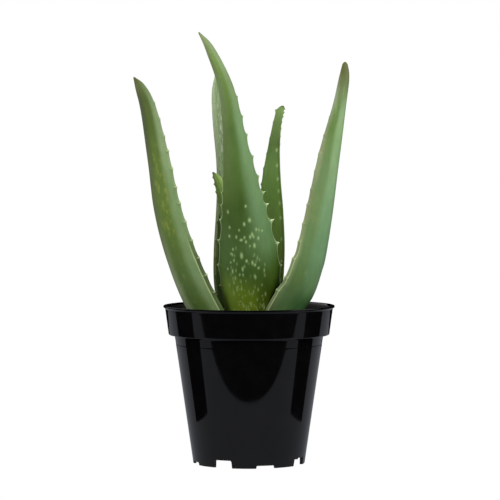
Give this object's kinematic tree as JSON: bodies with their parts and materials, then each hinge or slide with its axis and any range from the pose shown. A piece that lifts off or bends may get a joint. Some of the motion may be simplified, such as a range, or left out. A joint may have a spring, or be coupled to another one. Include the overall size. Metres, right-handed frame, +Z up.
{
  "type": "potted aloe plant",
  "caption": "Young aloe with tall toothed leaves growing from soil in a round black plastic grower's pot with a collar and drain notches.",
  "frame": {"origin": "on the floor, under the centre of the whole plant's box; the pot's own axis stands 6.9 mm to +X of it", "axes": "+Z up; the viewer's side is -Y; +X to the right as seen from there"},
  "size_m": [0.1878, 0.152, 0.3808],
  "materials": {
    "pot": "gloss",
    "soil": "matte",
    "stem": "matte",
    "leaf_front": "satin",
    "leaf_left": "satin",
    "leaf_right": "satin",
    "leaf_back_left": "satin",
    "leaf_back_right": "satin",
    "leaf_inner": "satin"
  },
  "bodies": {
    "root": {"pot": "pot", "soil": "soil", "stem": "stem", "leaf_front": "leaf_front", "leaf_left": "leaf_left", "leaf_right": "leaf_right", "leaf_back_left": "leaf_back_left", "leaf_back_right": "leaf_back_right", "leaf_inner": "leaf_inner"}
  },
  "joints": []
}
